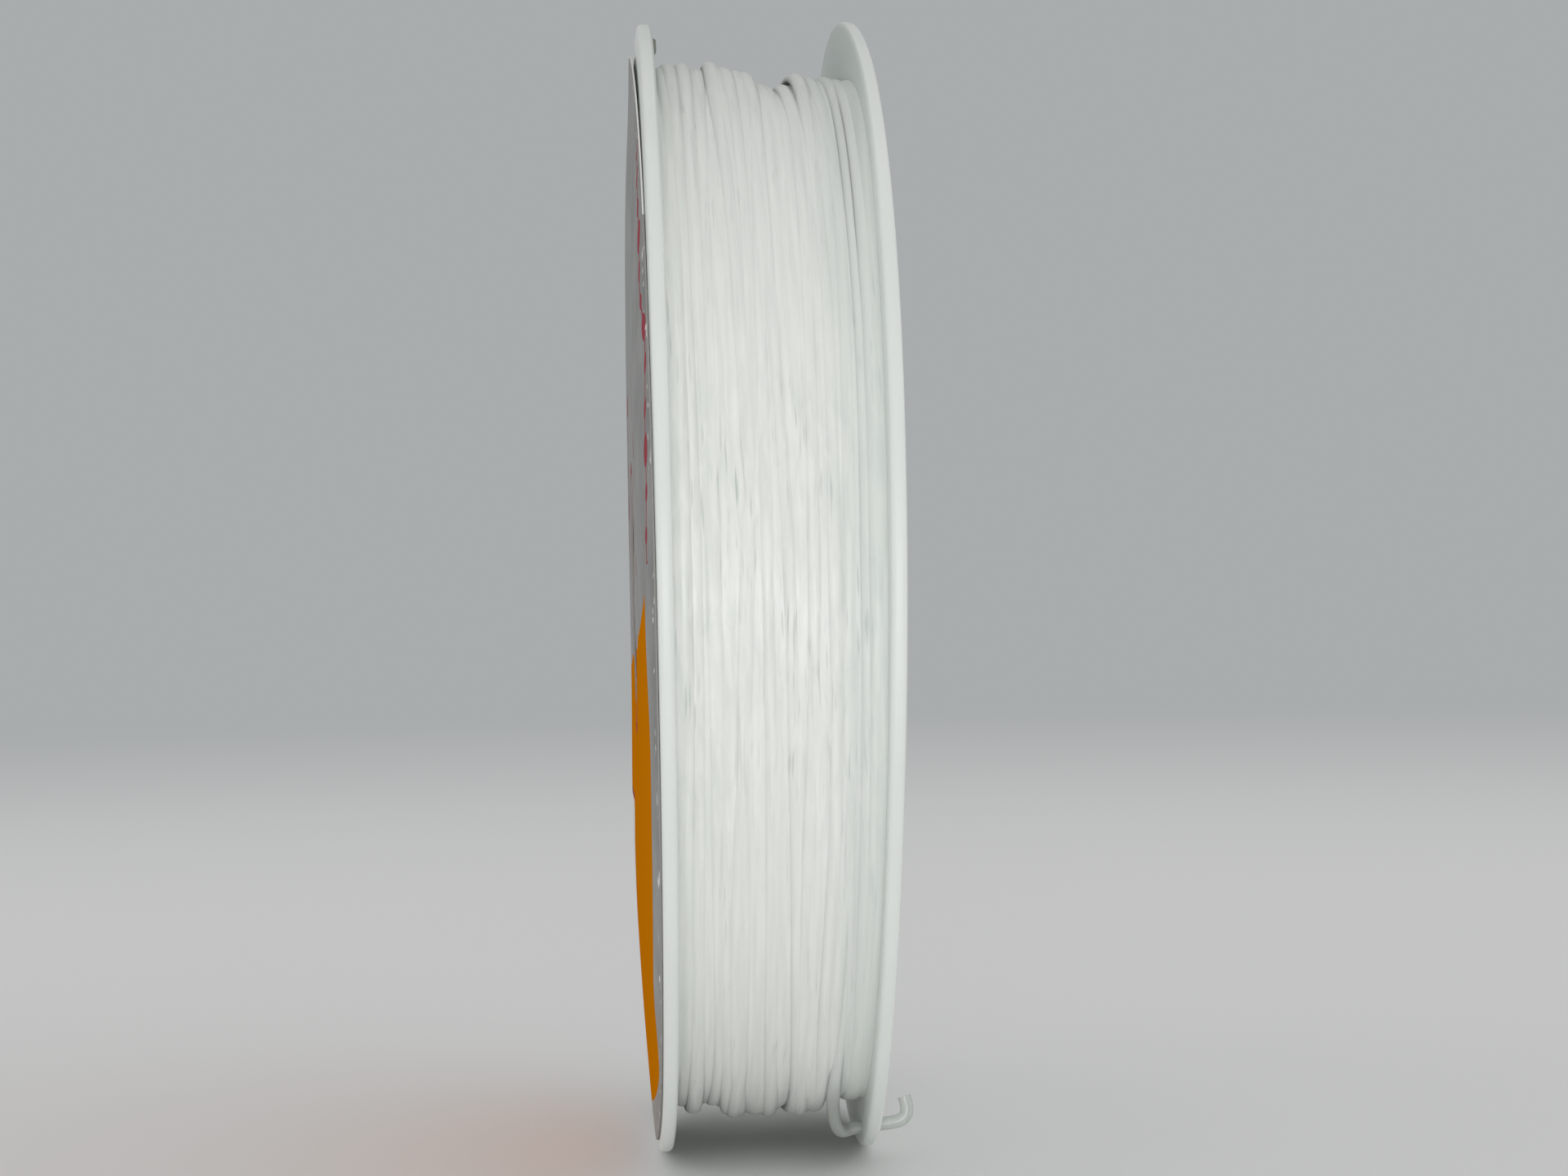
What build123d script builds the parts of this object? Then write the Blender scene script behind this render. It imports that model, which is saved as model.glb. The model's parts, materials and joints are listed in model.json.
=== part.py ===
from build123d import *
import math
import os

# Flat craft spool wound with clear elastic beading cord, standing on its two rims.
# Millimetres. The origin is the middle of the spindle bore. +X runs along the bore, from the
# label side to the plain side, and +Z points up.

# Flanges
flange_radius = 35.0
rim_thickness = 0.85
width_over_rims = 13.0
rim_edge_radius = 0.35
crown_height = 0.9  # the outer faces stand out this far round the hub
crown_flat_radius = 20.0
rim_land = 0.6  # flat ring between the crown's foot and the rim

# Hub: a barrel that carries the cord, and a tube inside it for the spindle
barrel_radius = 12.0
barrel_wall = 1.2
bore_radius = 5.0
bore_wall = 1.2
rib_count = 6
rib_thickness = 1.0

# Spigot of the plain side half, which snaps into the barrel
spigot_depth = 3.0
spigot_wall = 1.0
spigot_clearance = 0.02
seat_clearance = 0.02
snap_bead_radius = 0.2
snap_clearance = 0.05
rib_end_clearance = 0.3

# Cord and how it is wound
cord_diameter = 0.8
turn_pitch = 0.86  # nominal, evened out over the width
winding_depth_below_rim = 3.0  # of the outer turns' crests
turn_valley_depth = 0.25
winding_clearance = 0.05  # to the barrel and to both flanges

# Tie-off hole in the plain side flange
tie_hole_inset = 1.14  # from the rim to the hole's centre
tie_hole_angle = 13.7  # from straight down towards the front, degrees
tie_hole_clearance = 0.15

# Slit and nib at the top of the label side flange, where a loose end is caught
slit_width = 0.5
slit_depth = 4.0
slit_offset = 1.4  # from the top towards the back
nib_height = 0.35
nib_length = 1.9
nib_width = 1.2
nib_inset = 0.3  # from the rim

# Label, stuck on a little low and a little forward
label_margin = 1.4  # between its edge and the rim, were it centred
label_drop = 0.6
label_shift = 0.5
label_hole_margin = 1.5  # round the spindle bore, were it centred
label_thickness = 0.15
label_glue_gap = 0.03

# Free end of the cord: off the winding at the lower front, down in a slack bend, through the
# tie-off hole and into a small curl outside the flange. The two folds are about as tight as the
# cord goes.
free_end_route = [
    (3.55, -28.8, -15.4),
    (3.6, -25.05, -21.0),
    (3.5, -20.25, -25.7),
    (3.4, -15.6, -28.95),
    (3.5, -12.3, -30.9),
    (3.75, -10.4, -32.2),
    (4.2, -9.0, -33.1),
    (5.1, -8.1, -32.95),
    (7.0, -8.0, -32.8),
    (8.05, -8.05, -32.65),
    (8.45, -8.0, -32.0),
    (8.2, -7.85, -31.2),
]

half_width = width_over_rims / 2
inner_face = half_width - rim_thickness  # distance from the middle to each flange's inner face
barrel_bore_radius = barrel_radius - barrel_wall
bore_tube_radius = bore_radius + bore_wall
spigot_radius = barrel_bore_radius - spigot_clearance
spigot_bore_radius = spigot_radius - spigot_wall
snap_bead_place = inner_face - spigot_depth / 2
winding_radius = flange_radius - winding_depth_below_rim
crown_foot_radius = flange_radius - rim_land
label_radius = flange_radius - label_margin
label_hole_radius = bore_radius + label_hole_margin
crown_drop = crown_foot_radius - crown_flat_radius
crown_arc_radius = (crown_drop**2 + crown_height**2) / (2 * crown_height)


def crown_at(radius, lift=0.0):
    # height of the outer face over the rim's plane, on a surface lifted clear of it by lift
    arc_radius = crown_arc_radius + lift
    fall = math.sqrt(arc_radius**2 - (radius - crown_flat_radius) ** 2)
    return crown_height - crown_arc_radius + fall


def crowned_face(hub_radius, edge_radius, lift=0.0):
    # outer face of the label side in section: flat round the hub, then an arc down to the edge
    def place(radius):
        return (-half_width - crown_at(radius, lift), radius)

    flat_x = -half_width - crown_height - lift
    middle_radius = (crown_flat_radius + edge_radius) / 2
    flat = Line((flat_x, hub_radius), (flat_x, crown_flat_radius))
    arc = ThreePointArc(flat @ 1, place(middle_radius), place(edge_radius))
    return [flat, arc]


def flange_section(inner_outline):
    # half section of a flange and what stands on its inner face, from the rim down to the bore
    outer_face = crowned_face(bore_radius, crown_foot_radius)
    rim = Polyline(
        outer_face[-1] @ 1,
        (-half_width, flange_radius),
        (-inner_face, flange_radius),
        *inner_outline,
        outer_face[0] @ 0,
    )
    section = make_face([*outer_face, rim])
    corners = section.vertices().filter_by(lambda v: abs(v.Y - flange_radius) < 1e-6)
    return fillet(corners, min(rim_edge_radius, 0.45 * rim_thickness))


def ring_round_x(major_radius, minor_radius, x):
    return Pos(x, 0, 0) * Rot(0, 90, 0) * Torus(major_radius, minor_radius)


def bar_along_x(radius, x_from, x_to, y, z):
    middle = Pos((x_from + x_to) / 2, y, z)
    return middle * Rot(0, 90, 0) * Cylinder(radius, x_to - x_from)


def make_label_side_half():
    seat = inner_face - seat_clearance
    section = flange_section([
        (-inner_face, barrel_radius),
        (seat, barrel_radius),
        (seat, barrel_bore_radius),
        (-inner_face, barrel_bore_radius),
        (-inner_face, bore_tube_radius),
        (seat, bore_tube_radius),
        (seat, bore_radius),
    ])
    half = revolve(section, Axis.X)

    # ribs run from inside the bore tube's wall to inside the barrel's
    rib_end = inner_face - spigot_depth - rib_end_clearance
    rib_foot = bore_radius + bore_wall / 2
    rib_reach = barrel_radius - barrel_wall / 2 - rib_foot
    rib_length = rib_end + inner_face
    for index in range(rib_count):
        rib = Box(rib_length, rib_thickness, rib_reach)
        rib = Pos((rib_end - inner_face) / 2, 0, rib_foot + rib_reach / 2) * rib
        half += Rot(index * 360 / rib_count, 0, 0) * rib

    half -= ring_round_x(spigot_radius, snap_bead_radius + snap_clearance, snap_bead_place)
    half += make_catch_nib()
    slit = Box(3 * rim_thickness, slit_width, 2 * slit_depth)
    half -= Pos(-half_width + rim_thickness / 2, slit_offset, flange_radius) * slit
    return half


def make_catch_nib():
    # a wedge on the inner face just in front of the slit
    nib_top = flange_radius - nib_inset
    outline = Polyline(
        (-inner_face - rim_thickness / 2, nib_top),
        (-inner_face, nib_top),
        (-inner_face + nib_height, nib_top - 0.25 * nib_length),
        (-inner_face + nib_height, nib_top - 0.45 * nib_length),
        (-inner_face, nib_top - nib_length),
        (-inner_face - rim_thickness / 2, nib_top - nib_length),
        close=True,
    )
    nib = extrude(Plane.XZ * make_face(outline), nib_width)
    return Pos(0, slit_offset - slit_width / 2, 0) * nib


def make_plain_side_half():
    spigot_end = -inner_face + spigot_depth
    section = flange_section([
        (-inner_face, spigot_radius),
        (spigot_end, spigot_radius),
        (spigot_end, spigot_bore_radius),
        (-inner_face, spigot_bore_radius),
        (-inner_face, bore_radius),
    ])
    half = mirror(revolve(section, Axis.X), about=Plane.YZ)
    half += ring_round_x(spigot_radius, snap_bead_radius, snap_bead_place)

    angle = math.radians(tie_hole_angle)
    hole_place_radius = flange_radius - tie_hole_inset
    hole_y = -hole_place_radius * math.sin(angle)
    hole_z = -hole_place_radius * math.cos(angle)
    hole_radius = cord_diameter / 2 + tie_hole_clearance
    half -= bar_along_x(hole_radius, inner_face - 1, half_width + 1, hole_y, hole_z)
    return half


def make_front_label():
    # foil over the whole crown, from which the label is cut out round its own middle
    under = crowned_face(bore_radius, crown_foot_radius, label_glue_gap)
    over = crowned_face(bore_radius, crown_foot_radius, label_glue_gap + label_thickness)
    hole_edge = Line(under[0] @ 0, over[0] @ 0)
    outer_edge = Line(under[-1] @ 1, over[-1] @ 1)
    foil = revolve(make_face([*under, outer_edge, *over, hole_edge]), Axis.X)
    foil &= bar_along_x(label_radius, -2 * half_width, 0, -label_shift, -label_drop)
    return foil - bar_along_x(label_hole_radius, -2 * half_width, 0, -label_shift, -label_drop)


def make_cord_winding():
    # one closed ring, ridged where the outer turns lie side by side
    width = 2 * (inner_face - winding_clearance)
    turns = int(width / turn_pitch)
    pitch = width / turns
    valley_radius = winding_radius - turn_valley_depth
    inner_radius = barrel_radius + winding_clearance
    ridges = []
    for turn in range(turns):
        start = -width / 2 + turn * pitch
        ridges.append(ThreePointArc(
            (start, valley_radius), (start + pitch / 2, winding_radius), (start + pitch, valley_radius)
        ))
    sides_and_inside = Polyline(
        ridges[-1] @ 1, (width / 2, inner_radius), (-width / 2, inner_radius), ridges[0] @ 0
    )
    return revolve(make_face([*ridges, sides_and_inside]), Axis.X)


def make_cord_free_end():
    points = [Vector(point) for point in free_end_route]
    runs = [after - before for before, after in zip(points, points[1:])]
    radii = []
    for before, after in zip(runs, runs[1:]):
        turn = math.radians(before.get_angle(after))
        radii.append(0.45 * min(before.length, after.length) / math.tan(turn / 2))
    path = FilletPolyline(*points, radius=radii)
    section = Plane(origin=path @ 0, z_dir=path % 0) * Circle(cord_diameter / 2)
    tube = sweep(section, path)

    section_area = math.pi * cord_diameter**2 / 4
    print("free end: runs", [round(run.length, 2) for run in runs])
    print("free end: radii", [round(radius, 2) for radius in radii])
    print(f"free end: length {path.length:.2f}, volume over section times length "
          f"{tube.volume / (section_area * path.length):.5f}")
    return tube


parts = {
    "label_side_half": make_label_side_half(),
    "plain_side_half": make_plain_side_half(),
    "front_label": make_front_label(),
    "cord_winding": make_cord_winding(),
    "cord_free_end": make_cord_free_end(),
}

os.makedirs("parts", exist_ok=True)
for name, shape in parts.items():
    export_step(shape, f"parts/{name}.step")
    print(name, len(shape.solids()), "solid", round(shape.volume, 2), "mm3")
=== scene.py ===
import json
import math

import bpy
import numpy as np
from mathutils import Matrix, Vector, noise

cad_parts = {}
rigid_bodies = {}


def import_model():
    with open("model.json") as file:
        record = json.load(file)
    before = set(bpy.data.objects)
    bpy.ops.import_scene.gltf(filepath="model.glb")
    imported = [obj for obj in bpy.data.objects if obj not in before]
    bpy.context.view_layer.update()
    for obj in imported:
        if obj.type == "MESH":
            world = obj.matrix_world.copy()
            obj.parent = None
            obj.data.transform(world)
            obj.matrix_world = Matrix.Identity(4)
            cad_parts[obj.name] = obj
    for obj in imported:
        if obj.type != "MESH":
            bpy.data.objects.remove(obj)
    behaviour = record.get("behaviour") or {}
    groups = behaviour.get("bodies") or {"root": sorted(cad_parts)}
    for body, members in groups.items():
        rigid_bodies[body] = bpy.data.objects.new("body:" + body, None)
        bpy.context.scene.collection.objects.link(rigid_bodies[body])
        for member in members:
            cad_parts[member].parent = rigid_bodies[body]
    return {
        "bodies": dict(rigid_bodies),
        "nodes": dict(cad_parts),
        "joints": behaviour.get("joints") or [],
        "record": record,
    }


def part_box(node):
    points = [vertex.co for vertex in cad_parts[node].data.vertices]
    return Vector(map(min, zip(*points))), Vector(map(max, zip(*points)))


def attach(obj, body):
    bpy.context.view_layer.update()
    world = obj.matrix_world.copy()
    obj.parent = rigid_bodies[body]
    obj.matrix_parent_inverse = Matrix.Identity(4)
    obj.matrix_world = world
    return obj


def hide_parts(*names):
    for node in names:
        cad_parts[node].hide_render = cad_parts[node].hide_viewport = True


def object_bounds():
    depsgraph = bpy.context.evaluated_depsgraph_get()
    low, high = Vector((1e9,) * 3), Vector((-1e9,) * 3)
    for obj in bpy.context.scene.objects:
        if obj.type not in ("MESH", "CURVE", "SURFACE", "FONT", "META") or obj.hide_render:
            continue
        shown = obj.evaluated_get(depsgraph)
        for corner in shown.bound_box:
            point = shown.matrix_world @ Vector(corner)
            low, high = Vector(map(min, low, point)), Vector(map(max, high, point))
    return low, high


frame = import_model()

cadBounds = [list(corner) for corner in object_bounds()]
mm = 0.001
bpy.ops.object.select_all(action="DESELECT")


# small helpers shared by the pieces

def toLinear(hexColour):
    channels = [int(hexColour[i:i + 2], 16) / 255 for i in (1, 3, 5)]
    return [c / 12.92 if c <= 0.04045 else ((c + 0.055) / 1.055) ** 2.4 for c in channels] + [1]


def addNode(tree, kind, settings=None):
    # a setting is a property of the node or, by identifier or place, one of its inputs, which takes a
    # value, a socket to link from, or a node, whose first output is meant
    node = tree.nodes.new(kind)
    for name, value in (settings or {}).items():
        sockets = {socket.identifier: socket for socket in node.inputs}
        socket = sockets.get(name) if isinstance(name, str) else node.inputs[name]
        if isinstance(value, bpy.types.Node):
            value = value.outputs[0]
        if socket is None:
            setattr(node, name, value)
        elif isinstance(value, bpy.types.NodeSocket):
            tree.links.new(value, socket)
        else:
            socket.default_value = value
    return node


def newMaterial(name):
    material = bpy.data.materials.new(name)
    material.use_nodes = True
    material.node_tree.nodes.clear()
    return material, material.node_tree


def finishPiece(piece, material):
    piece.data.materials.clear()
    piece.data.materials.append(material)
    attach(piece, "root")
    return piece


# camera

cameraSpec = {
    "place": (-9.81 * mm, -207.57 * mm, 3.65 * mm),
    "lens": 75.62,
    "yaw": -3.244,  # degrees, to the right of +Y
    "pitch": -1.053,
    "roll": 1.186,
}


def makeCamera():
    data = bpy.data.cameras.new("studioCamera")
    data.lens = cameraSpec["lens"]
    data.sensor_width = 36
    data.clip_start = 10 * mm
    camera = bpy.data.objects.new("studioCamera", data)
    bpy.context.scene.collection.objects.link(camera)
    turn = Matrix.Rotation(math.radians(cameraSpec["yaw"]), 4, "Z")
    turn = turn @ Matrix.Rotation(math.radians(cameraSpec["pitch"]), 4, "X")
    turn = turn @ Matrix.Rotation(math.radians(cameraSpec["roll"]), 4, "Y")
    level = Matrix.Rotation(math.radians(90), 4, "X")  # looks along +Y
    camera.matrix_world = Matrix.Translation(cameraSpec["place"]) @ turn @ level
    bpy.context.scene.camera = camera


makeCamera()
print("camera made")


# shape of the two flanges, which the cord and the label lie against

flangeSpec = {
    "rimRadius": 35,  # mm
    "crownFoot": 34.4,
    "crownFlat": 20,  # the outer face is flat to here, then falls in an arc to the crown's foot
    "crownHeight": 0.9,
    "rimPlane": 6.5,  # from the middle of the spool
    "innerFace": 5.65,
    "edgeRadius": 0.3,
    "boreChamfer": 0.15,
    "barrel": (12, 10.8),  # outer and inner radius
    "boreTube": (6.2, 5),
    "spigot": (10.78, 9.78),
    "spigotDepth": 3,
    "flare": 0.17,  # how far the label side's thin rim leans out
    "lowFlare": 0.12,  # and how much further at its lowest
    "swell": 0.18,  # how far the label side's face stands out below the hub, towards the back
    "swellHeight": (-16, 7),  # where, and how far up and down from there
    "twist": 0.35,  # how far the plain side's rim is bent, out at the upper front and in at the lower
}


def crownAt(radius, lift=0.0):
    # height of the outer face over the rim's plane, on a surface lifted clear of it by lift
    height = flangeSpec["crownHeight"]
    drop = flangeSpec["crownFoot"] - flangeSpec["crownFlat"]
    arcRadius = (drop**2 + height**2) / (2 * height)
    beyond = max(radius - flangeSpec["crownFlat"], 0)
    return height - arcRadius + math.sqrt((arcRadius + lift) ** 2 - beyond**2)


def bump(value, middle, width):
    return np.exp(-((value - middle) / width) ** 2)


def plateau(value, middle, width):
    # a bump with a flatter top and steeper sides
    return np.exp(-((value - middle) / width) ** 4)


def flangeShift(side, y, z):
    # how far the flange on this side is bent along X at a place, all in mm
    spec = flangeSpec
    radius = np.hypot(y, z)
    hub = spec["barrel"][0]
    bend = (np.clip(radius - hub, 0, None) / (spec["rimRadius"] - hub)) ** 1.5
    if side < 0:
        offHub = np.clip((radius - 10) / 6, 0, 1)
        atBack = 1 / (1 + np.exp(-(y + hub) / 4))
        swell = spec["swell"] * bump(z, *spec["swellHeight"]) * offHub * atBack
        return -spec["flare"] * bend - spec["lowFlare"] * bump(z, -spec["rimRadius"], 4) - swell
    atFront = np.clip(0.5 - y / np.maximum(radius, 1), 0, 1)
    return -2 * spec["twist"] * bend * atFront * y * z / np.maximum(radius, 1) ** 2


def spoolShift(x, y, z):
    # the same for what lies between the flanges, shared out over the width
    share = np.clip(0.5 + 0.5 * x / flangeSpec["innerFace"], 0, 1)
    return flangeShift(-1, y, z) * (1 - share) + flangeShift(1, y, z) * share


# clear elastic cord: the material, and the free end

cordLook = {
    "tones": ("#DDE2DD", "#F9FAF5"),  # of the milky turns, darkest and palest
    # painted shade seen down between two turns
    "slit": "#B4BEB8",
    "beside": "#CDD6D2",
    "streak": (0.32, 8),  # width and length, in mm
    "wisp": (0.5, 3.0),
    "slitSize": (0.22, 3.6),
    "patch": (2.5, 9),
    "rippleSize": (0.35, 3),
    "rippleDepth": 0.08 * mm,
    "softness": 0.82,
    "laidRadius": 32,  # mm, of the outer turns
}


def addAlongTurns(tree, place):
    # coordinates in mm that follow the turns: across the winding, and along a turn
    split = addNode(tree, "ShaderNodeSeparateXYZ", {"Vector": place})
    forward = addNode(tree, "ShaderNodeMath", {"operation": "MULTIPLY", 0: split.outputs["Y"], 1: -1})
    turn = addNode(tree, "ShaderNodeMath", {"operation": "ARCTAN2", 0: split.outputs["Z"], 1: forward})
    along = addNode(tree, "ShaderNodeMath", {
        "operation": "MULTIPLY", 0: turn, 1: cordLook["laidRadius"],
    })
    across = addNode(tree, "ShaderNodeMath", {"operation": "DIVIDE", 0: split.outputs["X"], 1: mm})
    return addNode(tree, "ShaderNodeCombineXYZ", {"X": across, "Y": along})


def addStreaks(tree, alongTurns, size, detail=2.0, distortion=0.0):
    # soft streaks that run with the turns, as wide and long as size says
    width, length = size
    stretched = addNode(tree, "ShaderNodeVectorMath", {
        "operation": "MULTIPLY", 0: alongTurns, 1: (1 / width, 1 / length, 0),
    })
    return addNode(tree, "ShaderNodeTexNoise", {
        "Vector": stretched, "Scale": 1.0, "Detail": detail, "Distortion": distortion,
    })


def addTurnTone(tree, place, alongTurns):
    # fine streaks, with pale wisps over them at half height
    split = addNode(tree, "ShaderNodeSeparateXYZ", {"Vector": place})
    height = addNode(tree, "ShaderNodeMath", {"operation": "ABSOLUTE", 0: split.outputs["Z"]})
    atHalfHeight = addNode(tree, "ShaderNodeMapRange", {
        "Value": height, "From Min": 9 * mm, "From Max": 19 * mm, "To Min": 1.0, "To Max": 0.0,
    })
    wisps = addNode(tree, "ShaderNodeMath", {
        "operation": "MULTIPLY_ADD", 0: addStreaks(tree, alongTurns, cordLook["wisp"], 3.0, 0.7),
        1: 1.1, 2: -0.55,
    })
    shade = addNode(tree, "ShaderNodeMath", {
        "operation": "MULTIPLY_ADD", 0: wisps, 1: atHalfHeight,
        2: addStreaks(tree, alongTurns, cordLook["streak"]),
    })
    dark, pale = cordLook["tones"]
    tone = addNode(tree, "ShaderNodeMix", {
        "data_type": "RGBA", "Factor_Float": shade, "A_Color": toLinear(dark), "B_Color": toLinear(pale),
    })
    # painted shade: short darker streaks where one sees down between two turns, thicker in some patches at
    # half height
    gapShadeSlits = addNode(tree, "ShaderNodeMapRange", {
        "interpolation_type": "SMOOTHSTEP", "From Min": 0.58, "From Max": 0.74,
        "Value": addStreaks(tree, alongTurns, cordLook["slitSize"], 1.0),
    })
    patches = addNode(tree, "ShaderNodeMapRange", {
        "interpolation_type": "SMOOTHSTEP", "From Min": 0.4, "From Max": 0.65, "To Max": 0.65,
        "Value": addStreaks(tree, alongTurns, cordLook["patch"]),
    })
    darker = addNode(tree, "ShaderNodeMath", {"operation": "MULTIPLY", 0: gapShadeSlits, 1: patches})
    shown = addNode(tree, "ShaderNodeMath", {
        "operation": "MULTIPLY_ADD", 0: atHalfHeight, 1: 0.6, 2: 0.4,
    })
    darker = addNode(tree, "ShaderNodeMath", {"operation": "MULTIPLY", 0: darker, 1: shown})
    tone = addNode(tree, "ShaderNodeMix", {
        "data_type": "RGBA", "Factor_Float": darker,
        "A_Color": tone.outputs[2], "B_Color": toLinear(cordLook["slit"]),
    })
    # beside the plain side's flange the turns are a little darker and colder
    beside = addNode(tree, "ShaderNodeMapRange", {
        "interpolation_type": "SMOOTHSTEP", "Value": split.outputs["X"],
        "From Min": 1.8 * mm, "From Max": 4.6 * mm, "To Max": 0.32,
    })
    tone = addNode(tree, "ShaderNodeMix", {
        "data_type": "RGBA", "Factor_Float": beside,
        "A_Color": tone.outputs[2], "B_Color": toLinear(cordLook["beside"]),
    })
    return tone.outputs[2]


def addSoftNormal(tree, place, softness):
    # light spreads inside the cord, so a turn is shaded hardly darker at its sides
    outward = addNode(tree, "ShaderNodeVectorMath", {"operation": "MULTIPLY", 0: place, 1: (0, 1, 1)})
    outward = addNode(tree, "ShaderNodeVectorMath", {"operation": "NORMALIZE", 0: outward})
    mixed = addNode(tree, "ShaderNodeMix", {
        "data_type": "VECTOR", "Factor_Float": softness,
        "A_Vector": addNode(tree, "ShaderNodeNewGeometry").outputs["Normal"], "B_Vector": outward,
    })
    return addNode(tree, "ShaderNodeVectorMath", {"operation": "NORMALIZE", 0: mixed.outputs[1]})


def makeCordMaterial():
    # clear extruded cord: laid many turns deep it scatters the light, which makes it milky and nearly
    # without shadows, and its smooth skin gives long soft glints
    material, tree = newMaterial("milky polyurethane cord")
    place = addNode(tree, "ShaderNodeTexCoord").outputs["Object"]
    alongTurns = addAlongTurns(tree, place)
    ripple = addNode(tree, "ShaderNodeBump", {
        "Strength": 1.0, "Distance": cordLook["rippleDepth"],
        "Height": addStreaks(tree, alongTurns, cordLook["rippleSize"], 3.0),
    })
    shader = addNode(tree, "ShaderNodeBsdfPrincipled", {
        "Base Color": addTurnTone(tree, place, alongTurns), "Roughness": 0.5,
        "IOR": 1.5, "Specular IOR Level": 0.0,
        "Coat Weight": 0.35, "Coat Roughness": 0.3, "Coat IOR": 1.5, "Coat Normal": ripple,
        "Normal": addSoftNormal(tree, place, cordLook["softness"]),
    })
    addNode(tree, "ShaderNodeOutputMaterial", {"Surface": shader})
    return material


def makeFreeCordMaterial():
    # the same cord, milky where it lies on the winding and nearly clear where it hangs free of it
    material, tree = newMaterial("clear polyurethane cord")
    place = addNode(tree, "ShaderNodeTexCoord").outputs["Object"]
    alongTurns = addAlongTurns(tree, place)
    height = addNode(tree, "ShaderNodeSeparateXYZ", {"Vector": place})
    milky = addNode(tree, "ShaderNodeMapRange", {
        "interpolation_type": "SMOOTHSTEP", "Value": height.outputs["Z"],
        "From Min": -31.5 * mm, "From Max": -28 * mm,
    })
    softness = addNode(tree, "ShaderNodeMath", {"operation": "MULTIPLY", 0: milky, 1: 0.9})
    clearness = addNode(tree, "ShaderNodeMapRange", {"Value": milky, "To Min": 0.55, "To Max": 0.0})
    roughness = addNode(tree, "ShaderNodeMapRange", {"Value": milky, "To Min": 0.28, "To Max": 0.5})
    shader = addNode(tree, "ShaderNodeBsdfPrincipled", {
        "Base Color": addTurnTone(tree, place, alongTurns), "Roughness": roughness,
        "IOR": 1.45, "Specular IOR Level": 0.3, "Transmission Weight": clearness,
        "Normal": addSoftNormal(tree, place, softness),
    })
    addNode(tree, "ShaderNodeOutputMaterial", {"Surface": shader})
    return material


cordMaterial = makeCordMaterial()
freeCordMaterial = makeFreeCordMaterial()

freeEndSpec = {
    "diameter": 0.8 * mm,
    "length": 32.6 * mm,
    "route": [  # in mm, from where it leaves the winding to its cut end
        (3.55, -28.8, -15.4),
        (3.6, -25.05, -21.0),
        (3.5, -20.25, -25.7),
        (3.4, -15.6, -28.95),
        (3.5, -12.3, -30.9),
        (3.75, -10.4, -32.2),
        (4.2, -9.0, -33.1),
        (5.1, -8.1, -32.95),
        (7.0, -8.0, -32.8),
        (8.05, -8.05, -32.65),
        (8.45, -8.0, -32.0),
        (8.2, -7.85, -31.2),
    ],
}


def newRoundCord(name, kind, places):
    # a round cord through places in mm
    curve = bpy.data.curves.new(name, "CURVE")
    curve.dimensions = "3D"
    curve.bevel_depth = freeEndSpec["diameter"] / 2
    curve.bevel_resolution = 4
    curve.use_fill_caps = True
    spline = curve.splines.new(kind)
    spline.points.add(len(places) - 1)
    for point, place in zip(spline.points, places):
        point.co = (*(value * mm for value in place), 1)
    cord = bpy.data.objects.new(name, curve)
    bpy.context.scene.collection.objects.link(cord)
    return cord


def makeFreeEnd():
    route = freeEndSpec["route"]
    cord = newRoundCord("freeEnd", "NURBS", route)
    cord.data.resolution_u = 16
    cord.data.splines[0].order_u = 3
    cord.data.splines[0].use_endpoint_u = True
    finishPiece(cord, freeCordMaterial)
    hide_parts("cord_free_end")


makeFreeEnd()
print("free end of the cord made")


# wound cord

windingSpec = {
    "layers": 3,
    "turnsPerLayer": 13,
    "steps": 120,  # points round one turn
    "halfWidth": 0.51,  # mm; under tension the round cord is pressed to an oval
    "halfHeight": 0.4,
    "contact": 0.8,  # of the oval's width: neighbours press into each other a little
    "layerStep": 0.15,  # how far each layer lies under the next
    "unevenness": 0.05,  # how far a turn rides above or sinks below its layer
    "wander": (0.5, 0.7, 0.8),  # sideways drift of each layer, in mm
    "coreDepth": 0.06,  # below the crests; the turns under this are one solid ring
    "looseness": 0.13,  # eases the step, the unevenness and the core's depth where the turns lie slack
    "innerRadius": 12.05,  # just off the barrel
    "crest": 32.15,  # radius of the outer turns
    "topPlace": (1.65, 0.36),  # middle and spread; angles run from the back over the top, in radians
    "topCrests": (  # x and radius, in mm
        (-5.6, 31.9), (-4.8, 32.6), (-4.3, 32.45), (-3.9, 32.6), (-2.8, 32.1), (-2.0, 32.75), (-1.1, 32.1),
        (-0.6, 32.3), (0.1, 31.75), (0.9, 31.35), (1.55, 30.7), (2.1, 31.05), (2.5, 31.1), (3.0, 31.8),
        (3.4, 31.5), (3.9, 31.65), (4.6, 31.4), (5.2, 30.9), (5.6, 30.8),
    ),
    "bottomPlace": (4.65, 0.38),
    "bottomCrests": (
        (-5.4, 31.8), (-4.5, 32.8), (-3.7, 32.1), (-3.2, 32.2), (-2.1, 33.1), (-1.4, 32.85), (-0.7, 33.15),
        (0.2, 33.0), (1.1, 32.5), (1.9, 33.0), (2.8, 32.8), (3.4, 31.9), (5.6, 31.8),
    ),
    "endTurns": (5.6, 0.9),  # x of the turns against a flange, and spread
    "plainSideRide": (1.2, 2.15, 0.35),  # how far they ride up it: height, angle and spread
    "bothSidesRide": (0.5, 2.9, 0.7),
    "freeEndPlace": (3.8, 0.6),  # angle and spread of where the free end lies on the turns
    "besideFreeEnd": (1.15, 1.6, 1.1),  # rise of the turns beside it, the x it starts at, and softness
    "channel": (0.3, 3.53, 0.38),  # the groove it lies in: depth, x and spread
}


def slackAt(angle):
    # how loose the turns lie, most of all at the bottom
    slack = bump(angle, 0.5 * math.pi, 0.35) + 1.5 * bump(angle, 1.5 * math.pi, 0.4)
    return windingSpec["looseness"] * slack


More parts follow.
